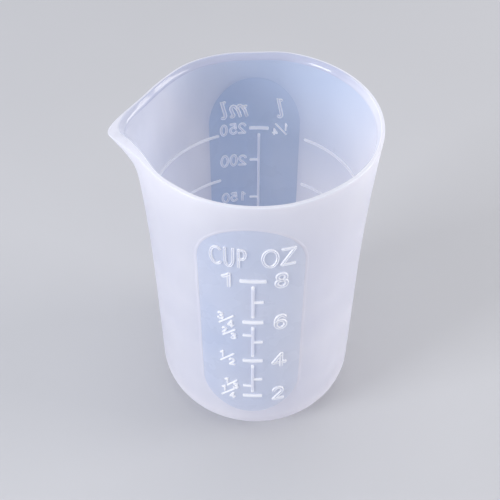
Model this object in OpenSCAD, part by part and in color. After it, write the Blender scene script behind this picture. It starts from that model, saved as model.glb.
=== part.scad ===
// Silicone mixing and measuring cup with a pulled pouring spout, in millimetres.
// Z is up and the origin is on the cup's axis, on the surface that it stands on.
// The CUP and OZ scale faces -Y, the ml scale faces +Y and the spout points to -X.

/* [Cup body] */
// Height from the table to the top of the lip
cup_h = 112; // [100:1:124]
// Outer diameter of the mouth, without the spout
mouth_d = 73; // [70:0.5:80]
// Outer diameter that the straight part of the wall would have at the table
foot_d = 65.6; // [60:0.2:68]
// How far the mouth flares out beyond the straight taper, on the radius
flare = 2.3; // [1:0.1:3.5]
// Height at which the flare starts
flare_z = 54; // [30:1:75]
// Outer radius of the rounded heel between the floor and the wall
heel_r = 13; // [9:0.5:16]
// Thickness of the wall, measured level
wall_t = 2; // [1.4:0.1:2.6]
// Thickness of the floor
floor_t = 2.4; // [1.6:0.1:4]
// Straight wall above the heel that belongs to the base
base_land = 1; // [0.6:0.1:3]

/* [Lip] */
// Height of the smooth band that forms the lip
lip_h = 3; // [2:0.1:6]
// Rounding of the lip's outer edge
lip_out_r = 0.8; // [0.3:0.05:1]
// Rounding of the lip's inner edge
lip_in_r = 1.1; // [0.3:0.05:1.3]

/* [Spout] */
// How far below the lip the spout starts to leave the wall
spout_depth = 32; // [20:1:40]
// Turn of the spout towards the CUP and OZ side, in degrees from square to the scales
spout_turn = 5.5; // [-8:0.5:8]
// Half of the angle between the normals of the spout's two flat flanks, in degrees
spout_half = 35; // [28:0.5:38]
// How far the flanks cut in from the circle of the mouth
spout_pinch = 1.15; // [0.5:0.05:1.6]
// Gap between the part of the wall that the spout reshapes and the front window
spout_gap = 0.8; // [0.3:0.1:4]
// Softness of the bend where a flank runs into the round wall
spout_blend = 0.9; // [0.3:0.1:1.4]
// Half angle over which the tip is rounded, in degrees
tip_round = 1.6; // [0.8:0.1:4]
// How far the tip dips below the lip
tip_dip = 1.8; // [0:0.1:3]
// Half angle of the dip at the tip, in degrees
tip_dip_span = 6; // [4:0.5:12]

/* [Clear windows] */
// Width of each clear window
window_w = 31.2; // [26:0.2:34]
// Distance of the windows' top from the top of the lip
window_drop = 9.2; // [7:0.1:16]
// Height of the windows' lowest point above the base
window_rise = 0.8; // [0.4:0.1:6]
// How far both windows sit off the scales' centre line, towards the spout
window_shift = 1; // [0:0.1:2]

/* [Scales] */
// Millilitres in one ounce of the scale
ounce_ml = 30; // [28:0.5:30]
// How far the marks stand out of the wall
mark_relief = 0.5; // [0.3:0.05:0.8]
// Height of a bar
bar_w = 1.3; // [0.8:0.1:1.8]
// Width of the upright rule and of the ticks
rule_w = 1.1; // [0.6:0.1:1.4]
// Length of the bar at the full mark
full_bar_l = 7.7; // [6:0.1:12]
// Length of the other bars
bar_l = 6.3; // [5:0.1:10]
// Reach of a tick from the middle of the rule
tick_l = 3.1; // [2:0.1:5]
// Gap between a bar and the end of the rule
rule_gap = 1.6; // [0.8:0.1:3]
// Millilitres between two marks of the ml scale
ml_step = 50; // [25:25:50]
// Number of marks on the ml scale
ml_marks = 5; // [3:1:5]

/* [Level lines] */
// How far the level lines stand out of the inner wall
line_relief = 0.5; // [0.3:0.05:0.8]
// Height of a level line
line_w = 1.1; // [0.6:0.1:1.6]
// Distance of the lines' ends from the edges of the windows
line_gap = 1; // [0.5:0.1:4]
// Turn of the lines against the scales, in degrees
line_turn = -2; // [-3:0.5:3]

/* [Hidden] */
$fn = 96;

FROSTED = [0.87, 0.88, 0.95];
GLOSSY = [0.94, 0.95, 0.99];
CLEAR = [0.70, 0.76, 0.89];
RAISED = [0.95, 0.96, 1.0];

base_h = heel_r + base_land;
lip_z = cup_h - lip_h;
spout_z = cup_h - spout_depth;
mouth_r = mouth_d/2;
outside_r = 2*mouth_r;
wall_slope = (mouth_r - flare - foot_d/2)/cup_h;
wall_lean = atan(wall_slope);

// Fade of the spout from its start to the lip: the keel hangs back, then sweeps out.
FADE_POWER = 5.8;
FADE_HOLD = 4;
// Angle over which the spout's flanks run out into the round wall.
RUN_OUT = 18;
// Share of a flank, from the tip, that stays straight before the blend into the circle.
STRAIGHT = 0.35;
// How much closer together the stations stand near the tip.
CROWDING = 1.5;
// Most of the wall's thickness that the roundings of the lip's two edges take up.
OUTER_SHARE = 0.42;
INNER_SHARE = 0.56;

// Steps along the heel, the wall, the spout and the lip.
HEEL_STEPS = 14;
LOW_STEPS = 6;
HIGH_STEPS = 10;
SPOUT_STEPS = 40;
RING_STEPS = 56;
EDGE_STEPS = 4;
OVAL_STEPS = 24;
WEDGE_SIDES = 6;
SLICES = 60;
HALVINGS = 22;

// Outer radius of the round wall at height z.
function wall_r(z) = foot_d/2 + wall_slope*z
    + flare*pow(max(0, (z - flare_z)/(cup_h - flare_z)), 2);

// Half of the angle round the cup that the spout reshapes: it ends beside the front window.
window_edge = window_w/2 + window_shift;
spout_span = 90 - spout_turn - asin((window_edge + spout_gap)/wall_r(spout_z));

// Heights at which the wall's outline has a point, below and above the spout's start.
low_levels = [for (k = [0:LOW_STEPS]) flare_z + (spout_z - flare_z)*k/LOW_STEPS];
high_levels = [for (k = [0:HIGH_STEPS]) spout_z + (lip_z - spout_z)*k/HIGH_STEPS];
wall_levels = concat([base_h], low_levels, [for (k = [1:HIGH_STEPS]) high_levels[k]]);
wall_table = [for (z = wall_levels) [z, wall_r(z)]];

// Radius of the wall's face as it is built, which pieces on the wall follow.
function face_r(z) = lookup(z, wall_table);

// Arc of the heel: radius r, lowest point at height z0, tangent to the wall set in by inset.
function heel_centre(r, z0, inset) = wall_r(z0 + r) - inset - r/cos(wall_lean);
function heel_arc(r, z0, inset) = [for (k = [0:HEEL_STEPS])
    let (a = -90 + (90 - wall_lean)*k/HEEL_STEPS)
    [heel_centre(r, z0, inset) + r*cos(a), z0 + r + r*sin(a)]];

// Radius of the cup's inside at height z, above the floor.
heel_in_r = heel_r - wall_t;
function inside_r(z) = z >= floor_t + heel_in_r ? wall_r(z) - wall_t :
    heel_centre(heel_in_r, floor_t, wall_t)
    + sqrt(max(0, pow(heel_in_r, 2) - pow(floor_t + heel_in_r - z, 2)));

// Content in millilitres when filled to height z, and the height of a given content.
function content(z, k = 0) = k >= SLICES ? 0 :
    let (dz = (z - floor_t)/SLICES, r = inside_r(floor_t + (k + 0.5)*dz))
    PI*r*r*dz/1000 + content(z, k + 1);
function level_z(ml, low = floor_t, high = cup_h, n = HALVINGS) =
    let (middle = (low + high)/2)
    n == 0 ? middle :
    content(middle) > ml ? level_z(ml, low, middle, n - 1) : level_z(ml, middle, high, n - 1);

full_ml = 8*ounce_ml;
bar_levels = [for (oz = [8:-2:2]) level_z(oz*ounce_ml)];
ounce_ticks = [for (oz = [7:-2:3]) level_z(oz*ounce_ml)];
third_ticks = [for (part = [2, 1]) level_z(full_ml*part/3)];
ml_levels = [for (k = [ml_marks:-1:1]) level_z(ml_step*k)];

// Plan of the mouth at angle a from the spout, set in by inset from the outer face.
// Each flank is a straight line, blended into the circle and rounded at the tip.
function smooth(t) = let (u = max(0, min(1, t))) u*u*(3 - 2*u);
function blunt(a) = sqrt(a*a + tip_round*tip_round);
function flank_r(a, inset) = (mouth_r - spout_pinch - inset)/cos(blunt(a) - spout_half);
function joined_r(a, inset) = let (r = mouth_r - inset)
    r - spout_blend*ln(1 + exp((r - min(flank_r(a, inset), outside_r))/spout_blend));
function plan_r(a, inset) = let (t = smooth((blunt(a)/spout_half - STRAIGHT)/(1 - STRAIGHT)))
    flank_r(a, inset)*(1 - t) + joined_r(a, inset)*t;
function spout_reach(a, inset) = abs(a) >= spout_span ? 0 :
    (plan_r(a, inset) - (mouth_r - inset))*(1 - smooth((abs(a) - spout_span)/RUN_OUT + 1));

// Share of the spout's reach and of its dip that is there at height z.
function rise(z) = max(0, min(1, (z - spout_z)/spout_depth));
function fade(z) = pow(rise(z), FADE_POWER)*(1 + FADE_HOLD*(1 - rise(z)));

// Point of the upper wall at angle a from the spout.
function shell_point(a, z, inset) =
    let (r = wall_r(z) - inset + spout_reach(a, inset)*fade(z),
         dip = tip_dip*exp(-pow(a/tip_dip_span, 2))*pow(rise(z), 2),
         turn = 180 + spout_turn + a)
    [r*cos(turn), r*sin(turn), z - dip];

// Angles from the spout at which the shell has a station, closer together near the tip.
spout_angles = [for (k = [-SPOUT_STEPS/2:SPOUT_STEPS/2])
    let (s = 2*k/SPOUT_STEPS) sign(s)*spout_span*pow(abs(s), CROWDING)];
ring_angles = concat(spout_angles,
    [for (k = [1:RING_STEPS - 1]) spout_span + (360 - 2*spout_span)*k/RING_STEPS]);

// Outline of the lip as pairs of inset and height, from its outer foot to its inner foot.
edge_out = min(lip_out_r, OUTER_SHARE*wall_t, lip_h);
edge_in = min(lip_in_r, INNER_SHARE*wall_t, lip_h);
lip_outline = concat(
    [[0, lip_z]],
    [for (k = [0:EDGE_STEPS]) let (a = 90*k/EDGE_STEPS)
        [edge_out*(1 - cos(a)), cup_h - edge_out*(1 - sin(a))]],
    [for (k = [0:EDGE_STEPS]) let (a = 90*k/EDGE_STEPS)
        [wall_t - edge_in*(1 - sin(a)), cup_h - edge_in*(1 - cos(a))]],
    [[wall_t, lip_z]]);
spout_outline = concat(
    [for (z = high_levels) [0, z]],
    [for (k = [HIGH_STEPS:-1:0]) [wall_t, high_levels[k]]]);

// Solid swept through one loop of points after another, joined up or closed at both ends.
module swept(loops, joined) {
    n = len(loops[0]);
    m = len(loops);
    sides = [for (i = [0:(joined ? m - 1 : m - 2)]) for (j = [0:n - 1])
        let (p = (i + 1) % m, q = (j + 1) % n)
        [i*n + j, i*n + q, p*n + q, p*n + j]];
    ends = joined ? [] : [for (j = [0:n/2 - 2]) each [
        [j, n - 1 - j, n - 2 - j, j + 1],
        [(m - 1)*n + j, (m - 1)*n + j + 1, (m - 1)*n + n - 2 - j, (m - 1)*n + n - 1 - j]]];
    polyhedron([for (loop = loops) each loop], concat(sides, ends), convexity = 6);
}

// Round shell between the wall's outer face moved by from and by to.
module round_shell(from, to) {
    rotate_extrude()
        polygon(concat(
            [for (z = wall_levels) [face_r(z) + from, z]],
            [for (k = [len(wall_levels) - 1:-1:0]) [face_r(wall_levels[k]) + to, wall_levels[k]]]));
}

// Everything on one side of the cup whose front view lies in the children's outline.
module seen_from(side) {
    mirror([0, side == "rear" ? 1 : 0, 0])
        rotate([90, 0, 0])
            linear_extrude(outside_r)
                children();
}

// Upright oval of a window.
module window_outline() {
    r = window_w/2;
    top = cup_h - window_drop - r;
    bottom = base_h + window_rise + r;
    polygon(concat(
        [for (k = [0:OVAL_STEPS]) let (a = 180*k/OVAL_STEPS)
            [r*cos(a) - window_shift, top + r*sin(a)]],
        [for (k = [0:OVAL_STEPS]) let (a = 180*k/OVAL_STEPS)
            [-r*cos(a) - window_shift, bottom - r*sin(a)]]));
}

module window(side) {
    intersection() {
        round_shell(-wall_t, 0);
        seen_from(side) window_outline();
    }
}

// Wedge that holds the spout's part of the wall.
module spout_wedge() {
    translate([0, 0, spout_z])
        linear_extrude(spout_depth)
            polygon(concat([[0, 0]], [for (k = [0:WEDGE_SIDES])
                let (turn = 180 + spout_turn + spout_span*(2*k/WEDGE_SIDES - 1))
                [outside_r*cos(turn), outside_r*sin(turn)]]));
}

module bar(x0, x1, z, w) {
    translate([x0, z - w/2])
        square([x1 - x0, w]);
}

// Raised marks on one side, drawn as they are seen from the front.
module raised(side) {
    intersection() {
        round_shell(0, mark_relief);
        seen_from(side) children();
    }
}

// One level line on each side of the cup is an arc on the inner wall.
module level_line(ml, from, to) {
    z = level_z(ml);
    low = z - line_w/2;
    high = z + line_w/2;
    slope = line_relief/2;
    rotate([0, 0, from])
        rotate_extrude(angle = to - from)
            polygon([
                [face_r(low) - wall_t, low],
                [face_r(high) - wall_t, high],
                [face_r(high) - wall_t - line_relief, high - slope],
                [face_r(low) - wall_t - line_relief, low + slope]]);
}

// Half of the angle that the lines leave free in front of and behind the cup.
function free_angle(z) = asin((window_w/2 + line_gap)/(face_r(z) - wall_t));

module level_lines(middle) {
    for (oz = [2:2:8])
        let (free = free_angle(level_z(oz*ounce_ml)))
            level_line(oz*ounce_ml, middle + line_turn - 90 + free, middle + line_turn + 90 - free);
}

module cup_base() {
    color(FROSTED)
        rotate_extrude()
            polygon(concat(
                [[0, 0]],
                heel_arc(heel_r, 0, 0),
                [[wall_r(base_h), base_h], [wall_r(base_h) - wall_t, base_h]],
                [for (k = [HEEL_STEPS:-1:0]) heel_arc(heel_in_r, floor_t, wall_t)[k]],
                [[0, floor_t]]));
}

module cup_wall() {
    color(FROSTED)
        difference() {
            round_shell(-wall_t, 0);
            seen_from("front") window_outline();
            seen_from("rear") window_outline();
            spout_wedge();
        }
}

module pouring_spout() {
    color(FROSTED)
        swept([for (a = spout_angles) [for (p = spout_outline) shell_point(a, p[1], p[0])]], false);
}

module rim_lip() {
    color(GLOSSY)
        swept([for (a = ring_angles) [for (p = lip_outline) shell_point(a, p[1], p[0])]], true);
}

module front_window() {
    color(CLEAR, 0.6) window("front");
}

module rear_window() {
    color(CLEAR, 0.6) window("rear");
}

// Bars at the full, three quarter, half and quarter cup, a broken rule between them,
// ticks to the right at the odd ounces and to the left at the thirds of a cup.
module cup_oz_scale() {
    rule_end = bar_w/2 + rule_gap;
    color(RAISED)
        raised("front") {
            for (k = [0:len(bar_levels) - 1])
                let (half = (k == 0 ? full_bar_l : bar_l)/2)
                    bar(-half, half, bar_levels[k], bar_w);
            for (k = [1:len(bar_levels) - 1])
                translate([-rule_w/2, bar_levels[k] + rule_end])
                    square([rule_w, bar_levels[k - 1] - bar_levels[k] - 2*rule_end]);
            for (z = ounce_ticks) bar(0, tick_l, z, rule_w);
            for (z = third_ticks) bar(-tick_l, 0, z, rule_w);
        }
}

// A long bar at the top mark and a tick for each mark below it, on one unbroken rule.
module ml_scale() {
    top = ml_levels[0];
    bottom = ml_levels[len(ml_levels) - 1] - rule_w/2;
    color(RAISED)
        raised("rear") {
            bar(-bar_l/2, bar_l/2, top, bar_w);
            translate([-rule_w/2, bottom])
                square([rule_w, top - bar_w/2 - rule_gap - bottom]);
            for (k = [1:len(ml_levels) - 1]) bar(-tick_l, 0, ml_levels[k], rule_w);
        }
}

module left_level_lines() {
    color(RAISED) level_lines(180);
}

module right_level_lines() {
    color(RAISED) level_lines(0);
}

cup_base();
cup_wall();
pouring_spout();
rim_lip();
front_window();
rear_window();
cup_oz_scale();
ml_scale();
left_level_lines();
right_level_lines();
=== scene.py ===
"""Frosted silicone mixing cup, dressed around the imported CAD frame.

Metres, Z up, the origin in the middle of the cup's underside. The CUP and OZ scale
faces -Y, the ml scale faces +Y and the pouring spout points to -X.
"""
import logging
import math
from dataclasses import dataclass, replace
from enum import Enum, IntEnum
from typing import Callable, Sequence

import bmesh
import bpy
from mathutils import Matrix, Vector


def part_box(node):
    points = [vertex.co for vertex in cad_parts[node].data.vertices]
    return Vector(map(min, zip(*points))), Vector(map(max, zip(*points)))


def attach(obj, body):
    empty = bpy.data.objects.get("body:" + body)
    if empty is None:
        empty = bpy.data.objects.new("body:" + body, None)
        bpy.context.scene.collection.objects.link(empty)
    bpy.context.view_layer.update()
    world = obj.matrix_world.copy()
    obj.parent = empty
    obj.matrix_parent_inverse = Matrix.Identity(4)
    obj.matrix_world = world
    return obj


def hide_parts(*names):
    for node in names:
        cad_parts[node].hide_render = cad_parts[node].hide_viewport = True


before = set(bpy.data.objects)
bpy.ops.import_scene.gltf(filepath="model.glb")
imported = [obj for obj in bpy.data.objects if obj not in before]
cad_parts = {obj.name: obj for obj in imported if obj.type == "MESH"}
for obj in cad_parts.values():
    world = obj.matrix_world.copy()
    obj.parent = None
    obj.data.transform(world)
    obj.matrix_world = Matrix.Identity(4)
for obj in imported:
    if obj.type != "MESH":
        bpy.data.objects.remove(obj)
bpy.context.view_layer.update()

LOG = logging.getLogger("mixing_cup")
MM = 0.001
MERGE = 1e-6
ML_PER_CUBIC_METRE = 1e6
MARK_SHARP = 75.0
Path = list[tuple[float, float]]
Stroke = tuple[Path, bool]
Triple = tuple[float, float, float]
Color = tuple[float, float, float, float]
Placer = Callable[[float, float, float], Vector]
BMesh, BMVert, BMEdge = bmesh.types.BMesh, bmesh.types.BMVert, bmesh.types.BMEdge


def linear(red: float, green: float, blue: float) -> Color:
    """Turn display values from 0 to 255 into a linear colour.

    Args:
        red: Display value of red.
        green: Display value of green.
        blue: Display value of blue.

    Returns:
        The linear colour with an alpha of 1.
    """
    parts = [c / 255 for c in (red, green, blue)]
    return (*(c / 12.92 if c <= 0.04045 else ((c + 0.055) / 1.055) ** 2.4 for c in parts), 1.0)


def smooth_step(t: float) -> float:
    """Return the smooth step of t, held between 0 and 1."""
    u = max(0.0, min(1.0, t))
    return u * u * (3 - 2 * u)


class Side(Enum):
    """The two sides of the cup that carry a window and a scale."""

    FRONT = 270.0
    REAR = 90.0

    @property
    def sense(self) -> float:
        """Return 1 where the turn grows with x and -1 where it shrinks."""
        return 1.0 if self is Side.FRONT else -1.0


class WallCoat(IntEnum):
    """The materials of a piece of wall, in order."""

    OUTSIDE = 0
    INSIDE = 1
    JOINT = 2


class LipCoat(IntEnum):
    """The materials of the lip, in order. The edge carries a painted highlight, and the edge, the slope and
    the inside darken towards the back as painted shade.
    """

    LAND = 0
    OUTSIDE = 1
    JOINT = 2
    SLOPE = 3
    INSIDE = 4
    EDGE = 5


class MarkCoat(IntEnum):
    """The materials of the raised marks, in order. The groove and the rule coats are darker than the mark:
    painted shade.
    """

    MARK = 0
    GROOVE = 1
    RULE = 2


@dataclass(frozen=True)
class CupForm:
    """Sizes and surface of the cup, in metres and degrees.

    The form is the CAD source's, with what the photographed soft mouth does beyond it. The
    turns and spans of the tip and the throat count from the spout's axis. Each entry of
    mouth_set is the middle, the half width and the amount of one swell of the mouth.
    """

    height: float
    mouth_r: float = 36.5 * MM
    foot_r: float = 32.8 * MM
    flare: float = 2.3 * MM
    flare_from: float = 54 * MM
    heel_r: float = 13 * MM
    wall: float = 2 * MM
    floor: float = 2.4 * MM
    base_land: float = 1 * MM
    lip_band: float = 3 * MM
    spout_depth: float = 32 * MM
    spout_turn: float = 185.5
    spout_half: float = 35.0
    spout_pinch: float = 1.15 * MM
    spout_gap: float = 0.8 * MM
    spout_blend: float = 0.9 * MM
    spout_run_out: float = 22.0
    spout_reach: float = 76.0
    flank_lean_max: float = 80.0
    flank_cap: float = 2.0
    straight_share: float = 0.35
    fade_power: float = 6.6
    fade_hold: float = 4.0
    tip_round: float = 12.44
    tip_dip: float = 1.23 * MM
    tip_dip_span: float = 6.0
    window_w: float = 31.2 * MM
    window_reserve: float = 1 * MM
    window_drop: float = 8.45 * MM
    window_rise: float = 0.8 * MM
    window_spread: float = 0.15 * MM
    front_shift: float = -0.8 * MM
    rear_shift: float = -1.5 * MM
    ounce_ml: float = 30.0
    level_step: float = 0.05 * MM
    tip_draw: float = 1.69 * MM
    tip_draw_span: float = 5.94
    tip_draw_power: float = 7.0
    throat_swell: float = 3.04 * MM
    throat_turn: float = 2.66
    throat_span: float = 16.8
    throat_rise_span: float = 0.202
    mouth_set: tuple[tuple[float, float, float], ...] = (
        (42, 60, 0.3 * MM), (92, 17, -0.6 * MM), (101, 31, -0.55 * MM), (152, 32, 0.42 * MM),
        (137, 20, -0.29 * MM), (220.5, 19, 1.08 * MM), (308, 27, -0.45 * MM))
    mouth_set_power: float = 3.0

    @property
    def base_top(self) -> float:
        """Return the height at which the base ends and the wall starts."""
        return self.heel_r + self.base_land

    @property
    def lip_z(self) -> float:
        """Return the height at which the lip starts."""
        return self.height - self.lip_band

    @property
    def spout_z(self) -> float:
        """Return the height at which the spout starts to leave the wall."""
        return self.height - self.spout_depth

    @property
    def slope(self) -> float:
        """Return how much the straight wall widens for each metre of height."""
        return (self.mouth_r - self.flare - self.foot_r) / self.height

    @property
    def spout_span(self) -> float:
        """Return half of the angle of the spout's part of the wall."""
        edge = self.window_w / 2 + self.window_reserve + self.spout_gap
        turn = self.spout_turn - 180
        return 90 - turn - math.degrees(math.asin(edge / self.wall_r(self.spout_z)))

    def wall_r(self, z: float) -> float:
        """Return the outer radius of the round wall at height z."""
        share = max(0.0, (z - self.flare_from) / (self.height - self.flare_from))
        return self.foot_r + self.slope * z + self.flare * share * share

    def heel_arc(self, radius: float, low: float, inset: float, steps: int) -> Path:
        """Return the heel's arc, from the floor up to the wall.

        Args:
            radius: Radius of the arc.
            low: Height of the arc's lowest point.
            inset: How far the arc's wall end lies inside the outer face.
            steps: Number of steps along the arc.

        Returns:
            Pairs of radius and height.
        """
        lean = math.atan(self.slope)
        centre = self.wall_r(low + radius) - inset - radius / math.cos(lean)
        sweep = [-math.pi / 2 + (math.pi / 2 - lean) * k / steps for k in range(steps + 1)]
        return [(centre + radius * math.cos(a), low + radius + radius * math.sin(a)) for a in sweep]

    def inside_r(self, z: float) -> float:
        """Return the radius of the cup's inside at height z, above the floor."""
        radius = self.heel_r - self.wall
        top = self.floor + radius
        if z >= top:
            return self.wall_r(z) - self.wall
        lean = math.atan(self.slope)
        centre = self.wall_r(top) - self.wall - radius / math.cos(lean)
        return centre + math.sqrt(max(0.0, radius**2 - (top - z) ** 2))

    def level_z(self, millilitres: float) -> float:
        """Return the height to which the cup has to be filled for that content.

        Args:
            millilitres: The content.

        Returns:
            The height in metres.
        """
        z, held, step = self.floor, 0.0, self.level_step
        while held < millilitres and z < self.height:
            held += math.pi * self.inside_r(z + step / 2) ** 2 * step * ML_PER_CUBIC_METRE
            z += step
        return z

    def flank_r(self, off: float, inset: float) -> float:
        """Return the radius of a flank's straight line, off degrees from the spout."""
        blunt = math.hypot(off, self.tip_round)
        lean = max(-self.flank_lean_max, min(self.flank_lean_max, blunt - self.spout_half))
        return (self.mouth_r - self.spout_pinch - inset) / math.cos(math.radians(lean))

    def reach(self, off: float, inset: float) -> float:
        """Return how far the spout carries the mouth out of its circle.

        Args:
            off: Angle from the spout's axis in degrees.
            inset: Distance inside the outer face.

        Returns:
            The reach in metres, below 0 where the flanks cut in.
        """
        if abs(off) >= self.spout_reach:
            return 0.0
        circle = self.mouth_r - inset
        flank = self.flank_r(off, inset)
        near = min(flank, self.flank_cap * self.mouth_r)
        joined = circle - self.spout_blend * math.log1p(math.exp((circle - near) / self.spout_blend))
        blunt = math.hypot(off, self.tip_round) / self.spout_half
        t = smooth_step((blunt - self.straight_share) / (1 - self.straight_share))
        fading = smooth_step((abs(off) - self.spout_reach) / self.spout_run_out + 1)
        return (flank * (1 - t) + joined * t - circle) * (1 - fading)

    def settled(self, turn: float) -> float:
        """Return how far the soft mouth has settled out of round at that angle."""
        total = 0.0
        for middle, width, amount in self.mouth_set:
            away = abs((turn - middle + 180) % 360 - 180) / width
            total += amount * math.cos(math.pi / 2 * min(1.0, away)) ** 2
        return total

    def point(self, turn: float, z: float, out: float) -> Vector:
        """Return a point of the moulded wall.

        Args:
            turn: Angle round the cup in degrees, from +X towards +Y.
            z: Height in metres.
            out: Distance outside the outer face, below 0 inside it.

        Returns:
            The point.
        """
        off = (turn - self.spout_turn + 180) % 360 - 180
        rise = max(0.0, min(1.0, (z - self.spout_z) / self.spout_depth))
        radius, drop = self.wall_r(z) + out, 0.0
        if rise > 0:
            fade = rise**self.fade_power * (1 + self.fade_hold * (1 - rise))
            radius += self.reach(off, -out) * fade + self.settled(turn) * rise**self.mouth_set_power
            radius += self.tip_draw * math.exp(-((off / self.tip_draw_span) ** 2)) * rise**self.tip_draw_power
            across = ((off - self.throat_turn) / self.throat_span) ** 2
            radius += self.throat_swell * math.exp(-across - ((1 - rise) / self.throat_rise_span) ** 2)
            drop = self.tip_dip * math.exp(-((off / self.tip_dip_span) ** 2)) * rise * rise
        a = math.radians(turn)
        return Vector((radius * math.cos(a), radius * math.sin(a), z - drop))

    def turn_at(self, side: Side, x: float, z: float, inset: float = 0.0) -> float:
        """Return the angle round the cup at which a side's wall has that x.

        Args:
            side: The side of the cup.
            x: Distance to the right of the cup's middle, as seen from the front.
            z: Height.
            inset: Distance inside the outer face at which the wall has it.

        Returns:
            The angle in degrees.
        """
        return side.value + side.sense * math.degrees(math.asin(x / (self.wall_r(z) - inset)))

    def outside(self, side: Side) -> Placer:
        """Return a placer that puts a flat drawing of x and z on one side's outer face."""
        return lambda x, z, out: self.point(self.turn_at(side, x, z), z, out)

    def inside(self, side: Side) -> Placer:
        """Return a placer that puts a flat drawing of x and z on one side's inner face."""
        return lambda x, z, out: self.point(self.turn_at(side, x, z, self.wall), z, -self.wall - out)


def linked(name: str, data: bpy.types.ID) -> bpy.types.Object:
    """Return a new object with that data, linked to the scene."""
    made = bpy.data.objects.new(name, data)
    bpy.context.scene.collection.objects.link(made)
    return made


class Mould:
    """Small steps that several pieces share."""

    @staticmethod
    def first_ring(bm: BMesh, points: int) -> tuple[list[BMVert], list[BMEdge]]:
        """Add a ring with that many points, and return its vertices in order and its edges."""
        ring = bmesh.ops.create_circle(bm, segments=points, radius=1)["verts"]
        chosen = set(ring)
        edges = {e for v in ring for e in v.link_edges}
        return ring, [e for e in edges if all(v in chosen for v in e.verts)]

    @staticmethod
    def next_ring(bm: BMesh, ring: list[BMVert], edges: list[BMEdge]) -> tuple[list[BMVert], list[BMEdge]]:
        """Extrude a ring into the next one.

        Args:
            bm: The mesh.
            ring: The last ring's vertices in order.
            edges: The last ring's edges.

        Returns:
            The new ring's vertices in the same order, and its edges.
        """
        partner = {v: k for k, v in enumerate(ring)}
        made = bmesh.ops.extrude_edge_only(bm, edges=edges)["geom"]
        ordered: list[BMVert | None] = [None] * len(ring)
        for v in (g for g in made if isinstance(g, BMVert)):
            old = next(e.other_vert(v) for e in v.link_edges if e.other_vert(v) in partner)
            ordered[partner[old]] = v
        return ordered, [g for g in made if isinstance(g, BMEdge)]

    @staticmethod
    def spun(outline: Path, closed: bool, steps: int) -> BMesh:
        """Spin an outline round the cup's axis.

        Args:
            outline: Pairs of radius and height.
            closed: Whether the outline's end joins its start.
            steps: Number of steps round the axis.

        Returns:
            The closed shape.
        """
        bm = bmesh.new()
        verts = [bm.verts.new((r, 0, z)) for r, z in outline]
        ends = verts[1:] + verts[:1] if closed else verts[1:]
        edges = [bm.edges.new(pair) for pair in zip(verts, ends)]
        bmesh.ops.spin(bm, geom=verts + edges, cent=(0, 0, 0), axis=(0, 0, 1), angle=math.tau,
                       steps=steps, use_merge=True)
        bmesh.ops.remove_doubles(bm, verts=bm.verts[:], dist=MERGE)
        bmesh.ops.recalc_face_normals(bm, faces=bm.faces[:])
        return bm

    @staticmethod
    def thicken(bm: BMesh, form: CupForm) -> None:
        """Give a sheet on the outer face the wall's thickness.

        Args:
            bm: The sheet, whose vertices carry their turn and height.
            form: The cup's sizes and surface.
        """
        turn, height = bm.verts.layers.float["turn"], bm.verts.layers.float["height"]
        for v in bm.verts:
            v.co = form.point(v[turn], v[height], 0)
        bmesh.ops.remove_doubles(bm, verts=bm.verts[:], dist=MERGE)
        bmesh.ops.recalc_face_normals(bm, faces=bm.faces[:])
        bm.normal_update()
        probe = bm.faces[:][0]
        middle = probe.calc_center_median()
        if probe.normal.dot(Vector((middle.x, middle.y, 0))) < 0:
            bmesh.ops.reverse_faces(bm, faces=bm.faces[:])
        inner_verts, inner_faces = bm.verts[:], bm.faces[:]
        bmesh.ops.extrude_face_region(bm, geom=inner_faces, use_keep_orig=True)
        for v in inner_verts:
            v.co = form.point(v[turn], v[height], -form.wall)
        for f in inner_faces:
            f.material_index = WallCoat.INSIDE
        inside = set(inner_verts)
        for f in bm.faces:
            if 0 < sum(v in inside for v in f.verts) < len(f.verts):
                f.material_index = WallCoat.JOINT
        bm.normal_update()

    @staticmethod
    def finish(bm: BMesh, name: str, sharp: float = 40.0) -> bpy.types.Object:
        """Make a bmesh an object with smooth faces and sharp corners.

        Args:
            bm: The finished shape, which is freed.
            name: Name of the piece.
            sharp: Angle between two faces, in degrees, above which their edge is sharp.

        Returns:
            The new object, linked to the scene.
        """
        bm.normal_update()
        if bm.calc_volume(signed=True) < 0:
            bmesh.ops.reverse_faces(bm, faces=bm.faces[:])
        for f in bm.faces:
            f.smooth = True
        for e in bm.edges:
            e.smooth = e.calc_face_angle(0.0) < math.radians(sharp)
        loose = sum(1 for e in bm.edges if not (e.is_manifold and e.is_contiguous))
        mesh = bpy.data.meshes.new(name)
        bm.to_mesh(mesh)
        bm.free()
        piece = linked(name, mesh)
        LOG.info("%s: %d faces, %d open or turned edges", name, len(mesh.polygons), loose)
        return piece

    @staticmethod
    def finish_marks(bm: BMesh, name: str) -> bpy.types.Object:
        """Turn the faces of raised marks outwards and make them a piece."""
        bmesh.ops.recalc_face_normals(bm, faces=bm.faces[:])
        return Mould.finish(bm, name, sharp=MARK_SHARP)

    @staticmethod
    def dress(piece: bpy.types.Object, slot: str, nodes: Sequence[str], *coats: bpy.types.Material) -> None:
        """Give a piece its materials and its place in the frame.

        Args:
            piece: The piece.
            slot: The record's material slot; not used.
            nodes: The CAD nodes that it stands for.
            coats: Its materials in order.
        """
        for coat in coats:
            piece.data.materials.append(coat)
        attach(piece, "root")
        if nodes:
            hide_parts(*nodes)


class Crown(Enum):
    """The top of a raised stroke, as shares of its half width and height, from left to right."""

    ROUND = ((-0.92, 0.4), (-0.7, 0.72), (-0.38, 0.94), (0.0, 1.0), (0.38, 0.94), (0.7, 0.72), (0.92, 0.4))
    RIMMED = ((-0.94, 0.45), (-0.78, 0.92), (-0.6, 1.0), (-0.38, 0.72), (0.0, 0.58), (0.38, 0.72), (0.6, 1.0),
              (0.78, 0.92), (0.94, 0.45))


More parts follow.
